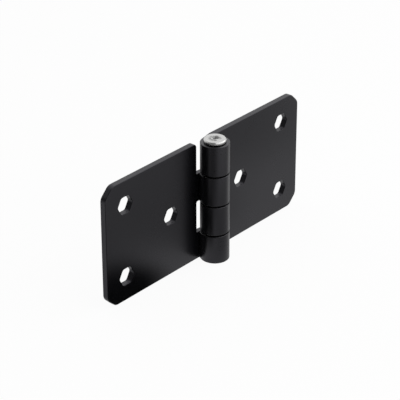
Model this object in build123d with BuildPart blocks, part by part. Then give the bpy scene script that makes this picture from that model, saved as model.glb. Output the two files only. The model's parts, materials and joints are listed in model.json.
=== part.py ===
"""Rolled steel hinge: two leaves bent from sheet, joined by one headed pin.

Millimetres. The mounting plane (the backs of both leaves, lying open flat) is y = 0, the viewer is
towards -Y, the pin runs along Z at x = 0, and z = 0 is half way up the leaves.
"""
import os
from math import asin, atan2, cos, degrees, hypot, pi, sin

from build123d import *

# Leaf plate
leaf_height = 60.0
leaf_reach = 67.5            # pin axis to the outer edge of a leaf
sheet = 3.0                  # thickness of the steel sheet
corner_cut = 5.0             # slanting cut across the two outer corners
corner_round = 4.0           # rounding where the slanting cut meets the straight edges
edge_round = 0.3             # rounding of the sheet's edges
smooth_angle = 5.0           # degrees up to which two faces count as one smooth surface

# Screw holes, a triangle of three in each leaf
hole_sides = 6
hole_flats = 8.2             # across the flats of a hole; two of its sides lie level
hole_corner_round = 1.5      # rounding of a hole's corners
hole_side_inset = 12.75      # outer edge to the two outer holes
hole_end_inset = 12.0        # top and bottom edges to the outer holes
hole_step = 30.0             # outer holes to the inner hole

# Knuckles, rolled forwards out of the sheet
knuckle_pairs = 2            # knuckles on each leaf
knuckle_gap = 0.75           # play between neighbouring knuckles
split_drop = 0.2             # how much more than an equal share each knuckle takes, at the lowest one's cost
barrel_setback = 1.1         # mounting plane to the back of the barrel
roll_tail = 2.0              # straight last stretch of the roll
seam_gap = 0.2               # free end of the roll to the front of the plate
neck_bend_radius = 4.0       # front side of the slight bend ahead of the roll
neck_bend_inset = 1.0        # slot edge of the plate to the start of that bend
neck_taper = 0.15            # how much narrower than its knuckle a neck is, on each side, at its root

# Slots that take the other leaf's knuckles
slot_clearance = 0.1         # widest part of the barrel to the slot edge of the plate behind it
slot_root_round = 0.8
slot_mouth_round = 2.0       # corner beside the end knuckle of the other leaf

# Pin
pin_diameter = 7.5
pin_clearance = 0.15         # pin to the bore of a knuckle
pin_end_recess = 0.5         # lower end of the barrel to the end of the pin
pin_end_chamfer = 0.6
grip_length = 10.0           # pressed length at the lower end, held by the end knuckle of the left leaf
grip_clearance = 0.02        # the pressed length only just touches the bore
grip_chamfer = 0.3
head_diameter = 10.5
head_height = 1.7            # top of the barrel to the top of the head
head_rim = 0.8               # upright band around the head
head_bevel = 0.45
dimple_diameter = 1.8        # centre mark left in the head by turning
dimple_depth = 0.5

# Derived places
bore_radius = pin_diameter / 2 + pin_clearance
barrel_radius = bore_radius + sheet
axis_y = -(barrel_setback + barrel_radius)
slot_x = barrel_radius + slot_clearance
bend_x = slot_x - neck_bend_inset
knuckle_count = 2 * knuckle_pairs
knuckle_pitch = leaf_height / knuckle_count + split_drop
splits = [leaf_height / 2 - count * knuckle_pitch for count in range(1, knuckle_count)]
past_barrel = barrel_radius + sheet
past_depth = 2 * (barrel_radius + barrel_setback + sheet)

# Outline of one screw hole: a hexagon with rounded corners
with BuildSketch() as screw_hole:
    RegularPolygon(hole_flats / 2, hole_sides, major_radius=False)
    fillet(screw_hole.vertices(), hole_corner_round)


def neck_bend():
    """Angle and straight length of the neck that meets the bend behind it and the roll ahead of it."""
    outer_bend = neck_bend_radius + sheet
    drop = outer_bend + axis_y
    rise = outer_bend - barrel_radius
    angle = asin(rise / hypot(bend_x, drop)) - atan2(drop, bend_x)
    length = bend_x * cos(angle) - drop * sin(angle)
    return degrees(angle), length


def roll_turn(neck_angle):
    """Degrees of roll: three quarters of a turn, and on until the straight last stretch ends at the seam."""
    seam_depth = -axis_y - sheet - seam_gap
    past_side = asin(seam_depth / hypot(barrel_radius, roll_tail)) - atan2(roll_tail, barrel_radius)
    return degrees(3 * pi / 2 + past_side) - neck_angle


def sheet_side(start_y, bend_radius, roll_radius):
    """One skin of the sheet seen from above: plate, bend, neck, roll and tail as five tangent lines."""
    angle, length = neck_bend()
    plate = Line((-leaf_reach, start_y), (-bend_x, start_y))
    bend = JernArc(plate @ 1, plate % 1, bend_radius, -angle)
    neck = PolarLine(bend @ 1, length, direction=bend % 1)
    roll = JernArc(neck @ 1, neck % 1, roll_radius, -roll_turn(angle))
    tail = PolarLine(roll @ 1, roll_tail, direction=roll % 1)
    return plate @ 0, tail @ 1


def slot_outline(low, high):
    """Gap for one knuckle of the other leaf, wider at its root by the taper of the necks."""
    return [
        (-slot_x, low - neck_taper),
        (0, low),
        (past_barrel, low),
        (past_barrel, high),
        (0, high),
        (-slot_x, high + neck_taper),
    ]


def sharp_edges(leaf):
    """Edges where two faces meet at an angle, leaving out those where one runs smoothly into the next."""
    sharp = []
    for edge in leaf.edges():
        middle = edge.position_at(0.5)
        beside = [face for face in leaf.faces() if any(edge.is_same(side) for side in face.edges())]
        if beside[0].normal_at(middle).get_angle(beside[-1].normal_at(middle)) > smooth_angle:
            sharp.append(edge)
    return sharp


def rolled_leaf(own_splits):
    """Leaf to the left of the pin: a flat blank cut to its outline, given the rolled section of the sheet.

    The splits are given from the bottom up, and the uppermost slot is open at the top.
    """
    with BuildPart() as leaf:
        with BuildSketch(Plane.XZ) as blank:
            with Locations((-leaf_reach, 0)):
                Rectangle(leaf_reach + past_barrel, leaf_height, align=(Align.MIN, Align.CENTER))
            outer_corners = blank.vertices().group_by(Axis.X)[0]
            chamfer(outer_corners, corner_cut)
            cut_corners = blank.vertices().sort_by(Axis.X)[:4]
            fillet(cut_corners, corner_round)
            slot_ends = [*own_splits, leaf_height]
            for low, high in zip(slot_ends[::2], slot_ends[1::2]):
                with BuildLine():
                    Polyline(slot_outline(low - knuckle_gap / 2, high + knuckle_gap / 2), close=True)
                make_face(mode=Mode.SUBTRACT)
            slot_corners = blank.vertices().group_by(Axis.X)[-3].sort_by(Axis.Y)
            slot_mouth = slot_corners[-1]
            fillet(slot_corners[:-1], slot_root_round)
            fillet(blank.vertices().sort_by_distance(slot_mouth)[0], slot_mouth_round)
            outer_hole_x = -leaf_reach + hole_side_inset
            outer_hole_z = leaf_height / 2 - hole_end_inset
            with Locations(
                (outer_hole_x, outer_hole_z),
                (outer_hole_x, -outer_hole_z),
                (outer_hole_x + hole_step, 0),
            ):
                add(screw_hole.sketch, mode=Mode.SUBTRACT)
        extrude(amount=past_depth, both=True)
        with BuildSketch(Plane.XY) as section:
            with BuildLine():
                back_start, back_end = sheet_side(0, neck_bend_radius + sheet, barrel_radius)
                front_start, front_end = sheet_side(-sheet, neck_bend_radius, bore_radius)
                Line(back_start, front_start)
                Line(back_end, front_end)
            make_face()
        extrude(amount=leaf_height, both=True, mode=Mode.INTERSECT)
        fillet(sharp_edges(leaf), edge_round)
    return leaf.part


# Left leaf: knuckles second and fourth from the top
left_leaf = rolled_leaf(splits[::-1])
left_leaf.label = "left_leaf"

# Right leaf: knuckles first and third from the top, made as a left leaf and turned end for end
turned_leaf = rolled_leaf([-split for split in splits])
with BuildPart() as right_leaf:
    add(turned_leaf, rotation=(0, 180, 0))

right_leaf.part.label = "right_leaf"

# Pin: a turned shaft with a flared head on top and a pressed length at its lower end
pin_radius = pin_diameter / 2
grip_radius = bore_radius - grip_clearance
head_radius = head_diameter / 2
barrel_top = leaf_height / 2
head_top = barrel_top + head_height
pin_bottom = -leaf_height / 2 + pin_end_recess
grip_top = pin_bottom + grip_length

with BuildPart() as pin:
    with BuildSketch(Plane.XZ.offset(-axis_y)) as half_section:
        with BuildLine():
            Polyline(
                (0, pin_bottom),
                (grip_radius - pin_end_chamfer, pin_bottom),
                (grip_radius, pin_bottom + pin_end_chamfer),
                (grip_radius, grip_top - grip_chamfer),
                (pin_radius, grip_top),
                (pin_radius, barrel_top),
                (head_radius, head_top - head_bevel - head_rim),
                (head_radius, head_top - head_bevel),
                (head_radius - head_bevel, head_top),
                (dimple_diameter / 2, head_top),
                (0, head_top - dimple_depth),
                close=True,
            )
        make_face()
    revolve(axis=Axis((0, axis_y, 0), (0, 0, 1)))

pin.part.label = "pin"

os.makedirs("parts", exist_ok=True)
export_step(left_leaf, "parts/left_leaf.step")
export_step(right_leaf.part, "parts/right_leaf.step")
export_step(pin.part, "parts/pin.step")
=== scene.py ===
# %% [markdown]
# # A black rolled hinge on a white floor
#
# The hinge is three pieces: two leaves stamped and rolled from sheet steel, coated black, and one bright
# turned pin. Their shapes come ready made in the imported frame, so this lesson gives them their finish,
# stands them on a pale floor, lights them softly and looks at them through a long lens.

# %% Load the frame
import json
import math

import bpy
from mathutils import Matrix, Vector


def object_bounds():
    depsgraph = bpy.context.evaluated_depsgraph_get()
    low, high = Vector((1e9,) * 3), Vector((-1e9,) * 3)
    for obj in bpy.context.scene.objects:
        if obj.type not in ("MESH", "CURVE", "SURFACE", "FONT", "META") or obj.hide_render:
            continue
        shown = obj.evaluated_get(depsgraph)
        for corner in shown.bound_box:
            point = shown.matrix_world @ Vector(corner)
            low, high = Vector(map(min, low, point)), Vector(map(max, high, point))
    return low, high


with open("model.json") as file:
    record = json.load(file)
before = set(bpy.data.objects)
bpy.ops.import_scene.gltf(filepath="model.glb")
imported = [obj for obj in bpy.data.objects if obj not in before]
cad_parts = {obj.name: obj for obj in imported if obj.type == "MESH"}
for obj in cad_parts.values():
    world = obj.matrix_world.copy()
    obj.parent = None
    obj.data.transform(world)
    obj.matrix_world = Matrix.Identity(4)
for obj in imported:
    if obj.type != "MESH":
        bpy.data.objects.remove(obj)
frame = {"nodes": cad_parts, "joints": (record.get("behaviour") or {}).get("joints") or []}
cad_low, cad_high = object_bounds()
nodes = frame["nodes"]
scene = bpy.context.scene
scene.view_settings.view_transform = "Standard"
print("pieces:", sorted(nodes))

# %% [markdown]
# ## Places taken from the frame
#
# The finishes and the floor are placed from the frame's own numbers: the pin's axis comes from the joint, the
# floor's height from the lowest corner of the leaves. They could be typed in again, but a value that is read
# from the model can't drift away from it.

# %% Hinge line and floor height
MM = 0.001
hinge_line = Vector(frame["joints"][0]["pos_m"])
floor_height = cad_low.z
print("hinge line in mm:", [round(v / MM, 2) for v in hinge_line], "floor:", round(floor_height / MM, 2))

# %% [markdown]
# ## Nodes written down
#
# A material is a small graph of nodes. It could be drawn by hand in the shader editor; it is written down
# here, so that it comes out the same each time. One helper makes a node and fills its inputs with values or
# links, and two more do sums with numbers and with vectors.


# %% Helpers for nodes
def add_node(tree, kind, inputs=None, **settings):
    """A node of the given kind, with its settings and its input values or links filled in."""
    node = tree.nodes.new(kind)
    for name, value in settings.items():
        setattr(node, name, value)
    for name, value in (inputs or {}).items():
        if isinstance(value, bpy.types.NodeSocket):
            tree.links.new(value, node.inputs[name])
        else:
            node.inputs[name].default_value = value
    return node


def sum_of(tree, operation, first, second=0.0, clamp=False):
    """The result of one sum on two values or sockets."""
    node = add_node(tree, "ShaderNodeMath", {0: first, 1: second}, operation=operation, use_clamp=clamp)
    return node.outputs[0]


def vector_sum(tree, operation, first, second=(0.0, 0.0, 0.0)):
    """The result of one sum on vectors: a vector, or a value where it is a dot product or a length."""
    node = add_node(tree, "ShaderNodeVectorMath", {0: first, 1: second}, operation=operation)
    return node.outputs["Value" if operation in ("DOT_PRODUCT", "LENGTH") else "Vector"]


# %% [markdown]
# ## Node groups
#
# An effect that both finishes use is a node group: it is built once, with named inputs, and placed in each
# material with that material's own values. Its nodes could be copied into each material instead, but then
# every change would have to be made twice.


# %% Helper for groups
def new_group(name, inputs, output):
    """An empty group with float inputs and one float output; returns it with its two end nodes."""
    group = bpy.data.node_groups.new(name, "ShaderNodeTree")
    for label, value in inputs.items():
        socket = group.interface.new_socket(label, in_out="INPUT", socket_type="NodeSocketFloat")
        socket.default_value = value
    group.interface.new_socket(output, in_out="OUTPUT", socket_type="NodeSocketFloat")
    return group, group.nodes.new("NodeGroupInput"), group.nodes.new("NodeGroupOutput")


# %% [markdown]
# ## Edge mask
#
# On both finishes the edges look different from the flats: a coat pulls thin there, and steel is polished by
# handling. Edges could be painted by hand. The Bevel node needs no painting and works on any mesh: it gives
# the normal that a rounded edge would have, and where that leans away from the true normal, an edge is close.

# %% Edge mask group
edge_mask, mask_in, mask_out = new_group("edge_mask", {"Width": 0.5 * MM, "Gain": 6.0}, "Mask")
rounded = add_node(edge_mask, "ShaderNodeBevel", {"Radius": mask_in.outputs["Width"]}, samples=6)
true_normal = add_node(edge_mask, "ShaderNodeNewGeometry").outputs["Normal"]
agreement = vector_sum(edge_mask, "DOT_PRODUCT", rounded.outputs["Normal"], true_normal)
away = sum_of(edge_mask, "SUBTRACT", 1.0, agreement, clamp=True)
gained = sum_of(edge_mask, "MULTIPLY", away, mask_in.outputs["Gain"], clamp=True)
edge_mask.links.new(gained, mask_out.inputs["Mask"])
print("made group", edge_mask.name)

# %% [markdown]
# ## Handling marks
#
# Nothing that has been through a workshop is evenly glossy. A picture of smears could be laid over the metal,
# but it would need unwrapping and would repeat. Here soft clouds of noise stand for wiped and touched areas,
# and a finer noise breaks them up. The group gives one value around zero, which each material adds to its
# roughness in its own measure.


# %% Helper for a place on a piece
def own_place(tree):
    """Where a point lies in its piece's own frame, in metres."""
    return add_node(tree, "ShaderNodeTexCoord").outputs["Object"]


# %% Handling marks group
handling_marks, marks_in, marks_out = new_group(
    "handling_marks", {"Cloud Size": 18 * MM, "Speck Size": 1.2 * MM, "Amount": 0.1}, "Change"
)
marks_place = own_place(handling_marks)
noises = []
for size in ("Cloud Size", "Speck Size"):
    scale = sum_of(handling_marks, "DIVIDE", 1.0, marks_in.outputs[size])
    inputs = {"Vector": marks_place, "Scale": scale, "Detail": 3.0}
    noises.append(add_node(handling_marks, "ShaderNodeTexNoise", inputs).outputs["Fac"])
mean_of_one_noise = 0.5
mean_of_both = mean_of_one_noise * len(noises)
around_zero = sum_of(handling_marks, "SUBTRACT", sum_of(handling_marks, "ADD", *noises), mean_of_both)
change = sum_of(handling_marks, "MULTIPLY", around_zero, marks_in.outputs["Amount"])
handling_marks.links.new(change, marks_out.inputs["Change"])
print("made group", handling_marks.name)

# %% [markdown]
# ## Distance from the hinge line
#
# Both finishes change with the distance from the hinge line: the knuckles around it are rubbed, and the pin's
# head keeps oil near its middle. Those places could be picked out as faces with materials of their own. A
# distance needs no picking: the group takes the way from the line to the point, drops its height and measures
# what is left.

# %% Hinge distance group
hinge_distance, _, distance_out = new_group("hinge_distance", {}, "Distance")
drop_height = (1.0, 1.0, 0.0)
from_line = vector_sum(hinge_distance, "SUBTRACT", own_place(hinge_distance), hinge_line)
across = vector_sum(hinge_distance, "MULTIPLY", from_line, drop_height)
off_line = vector_sum(hinge_distance, "LENGTH", across)
hinge_distance.links.new(off_line, distance_out.inputs["Distance"])
print("made group", hinge_distance.name)

# %% [markdown]
# ## Skin of the black powder coat
#
# The leaves wear a satin black powder coat. Powder melts into a skin that is nearly flat but never quite: it
# keeps an orange peel a millimetre or two across, with a much finer grain on top. Both could be modelled, but
# they are only microns high, so they go into bump, the grain laid over the peel.


# %% Helpers for materials
def new_material(name):
    """A node material; returns it with its tree and its Principled shader."""
    material = bpy.data.materials.new(name)
    material.use_nodes = True
    return material, material.node_tree, material.node_tree.nodes["Principled BSDF"]


def bumped(tree, height, depth, strength, under=None):
    """The normal of a relief of the given depth, laid over another normal where one is given."""
    inputs = {"Height": height, "Distance": depth, "Strength": strength}
    if under:
        inputs["Normal"] = under
    return add_node(tree, "ShaderNodeBump", inputs).outputs["Normal"]


# %% Skin of the powder coat
coat, tree, coat_shader = new_material("black_powder_coat")
coat_place = own_place(tree)
orange_peel = {"size": 1.8 * MM, "depth": 0.03 * MM, "strength": 0.06}
powder_grain = {"size": 0.25 * MM, "depth": 0.01 * MM, "strength": 0.10}
skin = None
for relief in (orange_peel, powder_grain):
    inputs = {"Vector": coat_place, "Scale": 1 / relief["size"], "Detail": 1.5}
    noise = add_node(tree, "ShaderNodeTexNoise", inputs).outputs["Fac"]
    skin = bumped(tree, noise, relief["depth"], relief["strength"], skin)
tree.links.new(skin, coat_shader.inputs["Normal"])
print("skin of", coat.name, "has a peel of", orange_peel["size"] / MM, "mm")

# %% [markdown]
# ## Colour of the coat
#
# The coat is close to black, and what the eye reads as grey is the floor mirrored in it. One plain colour
# would nearly do. The edge mask makes it a trace lighter where the coat pulls thin, and the tint of its shine
# is a trace of violet.


# %% Helpers for colour
def place_group(tree, group, values=None):
    """The group as one node of a material, with this material's own values; returns its output."""
    return add_node(tree, "ShaderNodeGroup", values, node_tree=group).outputs[0]


def mix_colour(tree, factor, first, second):
    """Two colours blended by a factor."""
    colour_a, colour_b, colour_out = 6, 7, 2
    inputs = {0: factor, colour_a: first, colour_b: second}
    return add_node(tree, "ShaderNodeMix", inputs, data_type="RGBA").outputs[colour_out]


# %% Colour of the powder coat
coat_flat = (0.003, 0.003, 0.0036, 1.0)
coat_thin = (0.006, 0.006, 0.007, 1.0)
coat_shine_tint = (0.90, 0.88, 1.0, 1.0)
coat_edges = place_group(tree, edge_mask, {"Width": 0.5 * MM, "Gain": 4.0})
tree.links.new(mix_colour(tree, coat_edges, coat_flat, coat_thin), coat_shader.inputs["Base Color"])
coat_shader.inputs["Specular Tint"].default_value = coat_shine_tint
print("colour of", coat.name, "is", coat_flat[:3])

# %% [markdown]
# ## Shine of the coat
#
# The coat is satin, with handling marks in its roughness. The knuckles are rubbed each time the leaves swing,
# so they mirror a little more than the plates do. A second material could carry that. A thin clear layer that
# ends just outside the barrel does it within one.


# %% Helpers for shine
def stretch(tree, value, low, high, to_low=0.0, to_high=1.0):
    """A value carried from one range to another, with soft ends."""
    inputs = {"Value": value, "From Min": low, "From Max": high, "To Min": to_low, "To Max": to_high}
    return add_node(tree, "ShaderNodeMapRange", inputs, interpolation_type="SMOOTHSTEP").outputs[0]


def dress(piece, material):
    """Gives a piece of the hinge one material in place of what it came with."""
    slots = nodes[piece].data.materials
    slots.clear()
    slots.append(material)
    print("dressed", piece, "in", material.name)


# %% Shine of the powder coat
coat_roughness = 0.30
coat_mark_sizes = {"Cloud Size": 22 * MM, "Speck Size": 0.9 * MM, "Amount": 0.10}
coat_marks = place_group(tree, handling_marks, coat_mark_sizes)
tree.links.new(sum_of(tree, "ADD", coat_marks, coat_roughness), coat_shader.inputs["Roughness"])

barrel_reach, polish_end = 7.0 * MM, 7.7 * MM
knuckle_polish = 0.26
off_barrel = place_group(tree, hinge_distance)
polish = stretch(tree, off_barrel, barrel_reach, polish_end, knuckle_polish, 0.0)
tree.links.new(polish, coat_shader.inputs["Coat Weight"])
coat_shader.inputs["Coat Roughness"].default_value = coat_roughness
for leaf in ("left_leaf", "right_leaf"):
    dress(leaf, coat)

# %% [markdown]
# ## Rings of the bright turned steel
#
# The pin is cut on a lathe and left bright. The tool leaves fine rings around the axis. They could be cut
# into the mesh, but they are far finer than its faces. A ring wave centred on the hinge line draws them in
# bump instead, so that light streaks across them as it does on turned metal.

# %% Rings of the turned steel
steel, tree, steel_shader = new_material("turned_steel")
steel_place = own_place(tree)
tool_step = 0.22 * MM
# At scale 1 the wave texture turns through this many radians for each unit of distance
wave_radians = 20
ring_shape = {
    "Vector": vector_sum(tree, "SUBTRACT", steel_place, hinge_line),
    "Scale": math.tau / (wave_radians * tool_step),
    "Distortion": 0.6,
    "Detail": 2.0,
}
rings = add_node(tree, "ShaderNodeTexWave", ring_shape, wave_type="RINGS", rings_direction="Z")
ring_depth, ring_strength = 0.01 * MM, 0.10
ring_normal = bumped(tree, rings.outputs["Fac"], ring_depth, ring_strength)
tree.links.new(ring_normal, steel_shader.inputs["Normal"])
print("rings of", steel.name, "every", tool_step / MM, "mm")

# %% [markdown]
# ## Colour of the steel and its oil
#
# The bare steel is brightest at its edges. Dark oil stays in the centre mark of the head and in smudges
# around it. Both could be painted, but only for this one mesh. Here the distance from the hinge line finds
# them, and a noise breaks up the smudges.

# %% Bare steel
steel_flat = (0.60, 0.60, 0.59, 1.0)
steel_rubbed = (0.74, 0.74, 0.73, 1.0)
steel_edges = place_group(tree, edge_mask, {"Width": 0.3 * MM, "Gain": 5.0})
bare_steel = mix_colour(tree, steel_edges, steel_flat, steel_rubbed)
print("bare steel is", steel_flat[:3], "and", steel_rubbed[:3], "at its edges")

# %% Oil
oil_dark = (0.07, 0.07, 0.07, 1.0)
oil_cover = 0.95
smudge_size, smudge_seed = 2.2 * MM, 1.0
smudge_start, smudge_full = 0.42, 0.54
smudges_thin_from, smudges_end = 1.6 * MM, 3.6 * MM
mark_inside, mark_outside = 0.8 * MM, 1.3 * MM

inputs = {"Vector": steel_place, "W": smudge_seed, "Scale": 1 / smudge_size, "Detail": 2.0}
smudge_noise = add_node(tree, "ShaderNodeTexNoise", inputs, noise_dimensions="4D").outputs["Fac"]
off_axis = place_group(tree, hinge_distance)
near_middle = stretch(tree, off_axis, smudges_thin_from, smudges_end, 1.0, 0.0)
smudges = sum_of(tree, "MULTIPLY", stretch(tree, smudge_noise, smudge_start, smudge_full), near_middle)
in_mark = stretch(tree, off_axis, mark_inside, mark_outside, 1.0, 0.0)
oil = sum_of(tree, "MULTIPLY", sum_of(tree, "MAXIMUM", smudges, in_mark), oil_cover)
tree.links.new(mix_colour(tree, oil, bare_steel, oil_dark), steel_shader.inputs["Base Color"])
print("oil reaches", smudges_end / MM, "mm from the axis")

# %% [markdown]
# ## Shine of the steel
#
# The pin is bare metal, so what it mirrors takes the steel's own colour. The handling marks could be left out
# on so small a piece, but an even gloss looks new. They are placed with smaller clouds and a larger amount.

# %% Shine of the turned steel
steel_roughness = 0.28
steel_mark_sizes = {"Cloud Size": 4 * MM, "Speck Size": 0.5 * MM, "Amount": 0.25}
steel_marks = place_group(tree, handling_marks, steel_mark_sizes)
tree.links.new(sum_of(tree, "ADD", steel_marks, steel_roughness), steel_shader.inputs["Roughness"])
steel_shader.inputs["Metallic"].default_value = 1.0
dress("pin", steel)

# %% [markdown]
# ## Floor
#
# The hinge stands on a pale floor that runs past the view on every side. A backdrop with a curved foot would
# also do, but one flat face is enough for a view from above.

# %% Floor
floor_half = 3.0
corner_signs = ((-1, -1), (1, -1), (1, 1), (-1, 1))
floor_corners = [(x * floor_half, y * floor_half, floor_height) for x, y in corner_signs]
floor_mesh = bpy.data.meshes.new("floor")
floor_mesh.from_pydata(floor_corners, [], [(0, 1, 2, 3)])
floor = bpy.data.objects.new("floor", floor_mesh)
scene.collection.objects.link(floor)
print("floor spans", 2 * floor_half, "m")

# %% [markdown]
# ## Floor as the coat mirrors it
#
# A glossy coat mirrors the floor, so what the floor looks like in that mirror is what the coat looks like. In
# a studio, cards and flags around the hinge would shape it. Here the floor itself is painted for the mirror:
# a painted pool of light with a few soft painted shadows in it, dark ovals that are deepest at the left end
# and behind the barrel.

# %% Soft oval
floor_paint, tree, floor_shader = new_material("floor_paint")
tree.nodes.remove(floor_shader)
floor_place = own_place(tree)
oval_core = 0.6


def soft_oval(centre, radii):
    """One in the middle of an oval on the floor, fading to zero at its rim."""
    inputs = {"Vector": floor_place, "Location": (*centre, floor_height), "Scale": (*radii, 1.0)}
    where = add_node(tree, "ShaderNodeMapping", inputs, vector_type="TEXTURE").outputs[0]
    fade = add_node(tree, "ShaderNodeTexGradient", {"Vector": where}, gradient_type="SPHERICAL")
    return stretch(tree, fade.outputs["Fac"], 0.0, oval_core)


# %% Painted pool of light and its painted shadows
pool_light = 0.68
# Painted shadows on the floor, seen only in the coat's reflections: centre and radii of each oval in metres,
# and the share of the light that it takes away
painted_shadow_ovals = {
    "front left": ((-0.115, -0.060), (0.105, 0.090), 0.75),
    "front middle": ((0.012, -0.055), (0.065, 0.055), 0.42),
    "front right": ((0.105, -0.090), (0.090, 0.055), 0.45),
    "left end": ((-0.050, -0.014), (0.034, 0.026), 1.0),
    "behind": ((0.012, 0.070), (0.035, 0.070), 0.95),
}
pool = pool_light
# Each oval paints a soft shadow into the light that the coat and the steel mirror
for centre, radii, share in painted_shadow_ovals.values():
    taken = sum_of(tree, "MULTIPLY", soft_oval(centre, radii), share)
    pool = sum_of(tree, "MULTIPLY", pool, sum_of(tree, "SUBTRACT", 1.0, taken))
print("dark ovals:", list(painted_shadow_ovals))

# %% [markdown]
# ## Floor as the camera sees it
#
# To the camera the floor is white. More light would whiten it too, but would wash out the hinge. So the Light
# Path node gives camera rays a plain white, mixed with a small share of the floor's real shading, which keeps
# the hinge's shadow, and gives mirror rays the pool.

# %% Floor paint
floor_pale = (0.90, 0.90, 0.90, 1.0)
white_share = 0.94
paint = add_node(tree, "ShaderNodeBsdfDiffuse", {"Color": floor_pale}).outputs[0]
white = add_node(tree, "ShaderNodeEmission", {"Strength": 1.0}).outputs[0]
mirrored = add_node(tree, "ShaderNodeEmission", {"Strength": pool}).outputs[0]
rays = add_node(tree, "ShaderNodeLightPath").outputs
seen = sum_of(tree, "MAXIMUM", rays["Is Camera Ray"], rays["Is Transmission Ray"])
seen_share = sum_of(tree, "MULTIPLY", seen, white_share)
to_eye = add_node(tree, "ShaderNodeMixShader", {0: seen_share, 1: paint, 2: white}).outputs[0]
to_coat = add_node(tree, "ShaderNodeMixShader", {0: rays["Is Glossy Ray"], 1: to_eye, 2: mirrored}).outputs[0]
tree.links.new(to_coat, tree.nodes["Material Output"].inputs["Surface"])
floor_mesh.materials.append(floor_paint)
print("painted", floor.name)

# %% [markdown]
# ## Soft light
#
# The light is a white room. The world glows most at the back on the right, which draws the pale line along
# every top edge and the bright face of the pin's head, and least at the front on the left. A room with
# windows could be modelled. A glow that changes with direction needs no walls and no picture.

# %% White room
world = bpy.data.worlds.new("white_room")
scene.world = world
world.use_nodes = True
tree = world.node_tree
background = tree.nodes["Background"]
background.inputs["Color"].default_value = (1.0, 1.0, 1.0, 1.0)

bright_side = Vector((0.67, 0.57, 0.47)).normalized()
dim_until, bright_from = -0.1, 0.9
dim_glow, bright_glow = 0.12, 1.0
direction = add_node(tree, "ShaderNodeTexCoord").outputs["Generated"]
facing = vector_sum(tree, "DOT_PRODUCT", direction, bright_side)
glow = stretch(tree, facing, dim_until, bright_from, dim_glow, bright_glow)
rays = add_node(tree, "ShaderNodeLightPath").outputs
seen = sum_of(tree, "MAXIMUM", rays["Is Camera Ray"], rays["Is Transmission Ray"])
tree.links.new(sum_of(tree, "MAXIMUM", glow, seen), background.inputs["Strength"])
print("world", world.name, "glows from", dim_glow, "to", bright_glow)

# %% [markdown]
# ## Lamp
#
# One wide soft lamp at the front on the right lays a shadow on the floor. A small lamp would do that too, but
# with hard edges. Together with the world it lights a white card to about white.

# %% Lamp
lamp_place = Vector((0.30, -0.42, 0.50))
lamp_width, lamp_watts = 1.1, 4.4
lamp_light = bpy.data.lights.new("right_lamp", "AREA")
lamp_light.size = lamp_width
lamp_light.energy = lamp_watts
lamp = bpy.data.objects.new("right_lamp", lamp_light)
lamp.location = lamp_place
lamp.rotation_euler = (hinge_line - lamp_place).to_track_quat("-Z", "Y").to_euler()
lamp.visible_camera = False
scene.collection.objects.link(lamp)
print("lamp", lamp.name, "of", lamp_watts, "W is", lamp_width, "m wide")

# %% [markdown]
# ## Camera
#
# The view is from the front left and above, through a long lens, so the two leaves keep almost the same
# height. A constraint could aim the camera. Its axes are worked out here instead, from its azimuth, elevation
# and a trace of roll, and its lens from the focal length in pixels of the picture.

# %% Camera
view_azimuth, view_elevation, view_roll = (math.radians(v) for v in (-49.313, 28.126, -0.126))
view_target = Vector((-4.692, -3.0, 0.161)) * MM
view_distance = 828.0 * MM
picture_pixels, focal_pixels, sensor_width = 400, 1797.5, 36.0

level_back = Vector((math.sin(view_azimuth), -math.cos(view_azimuth), 0.0))
backward = level_back * math.cos(view_elevation) + Vector((0.0, 0.0, math.sin(view_elevation)))
rightward = Vector((math.cos(view_azimuth), math.sin(view_azimuth), 0.0))
upward = backward.cross(rightward)
facing_hinge = Matrix((rightward, upward, backward)).transposed().to_4x4()
rolled = facing_hinge @ Matrix.Rotation(view_roll, 4, "Z")

camera_data = bpy.data.cameras.new("camera")
camera_data.sensor_width = sensor_width
camera_data.lens = sensor_width * focal_pixels / picture_pixels
camera = bpy.data.objects.new("camera", camera_data)
camera.matrix_world = Matrix.Translation(view_target + view_distance * backward) @ rolled
scene.collection.objects.link(camera)
scene.camera = camera
print("lens", round(camera_data.lens, 1), "mm, camera at", [round(v, 3) for v in camera.location])
